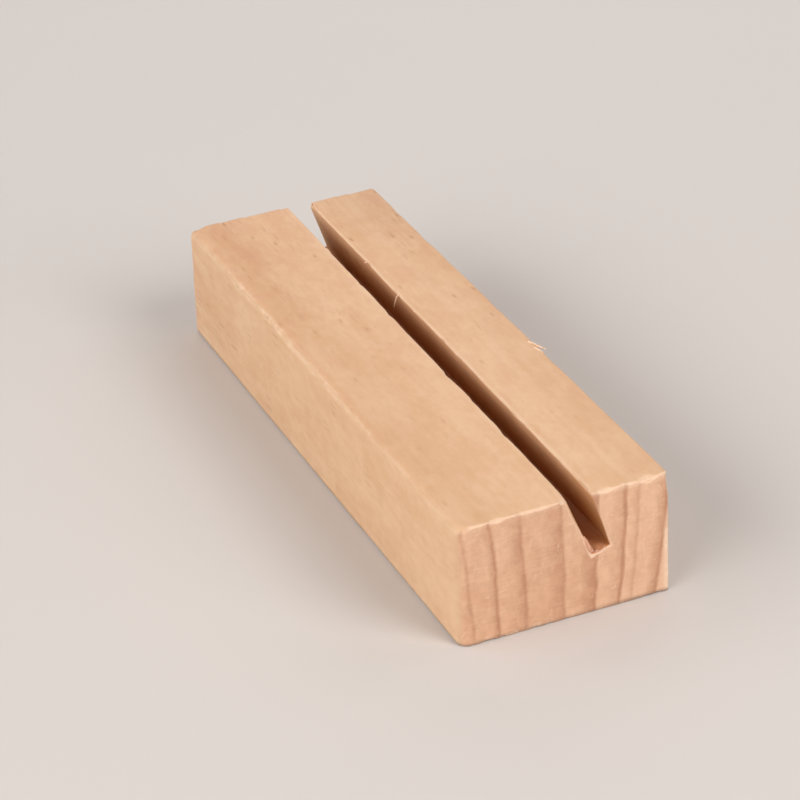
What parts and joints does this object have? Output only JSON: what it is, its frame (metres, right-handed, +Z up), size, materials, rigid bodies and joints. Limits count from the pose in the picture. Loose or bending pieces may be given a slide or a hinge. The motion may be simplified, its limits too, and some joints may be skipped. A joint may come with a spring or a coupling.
{
  "type": "photo block holder",
  "caption": "Plain wooden block with a slanted slot down the whole of its top face, which holds a photograph or card up on a desk or shelf.",
  "frame": {"origin": "centre of the flat base, on the surface that the block stands on", "axes": "+X along the block and its slot, +Y towards the side of the wide land, which the top of the card leans towards, +Z up"},
  "size_m": [0.1016, 0.0324, 0.019],
  "materials": {
    "bare_wood": "bare, fine-sanded, unvarnished"
  },
  "bodies": {
    "root": {"slotted_block": "bare_wood"}
  },
  "joints": []
}
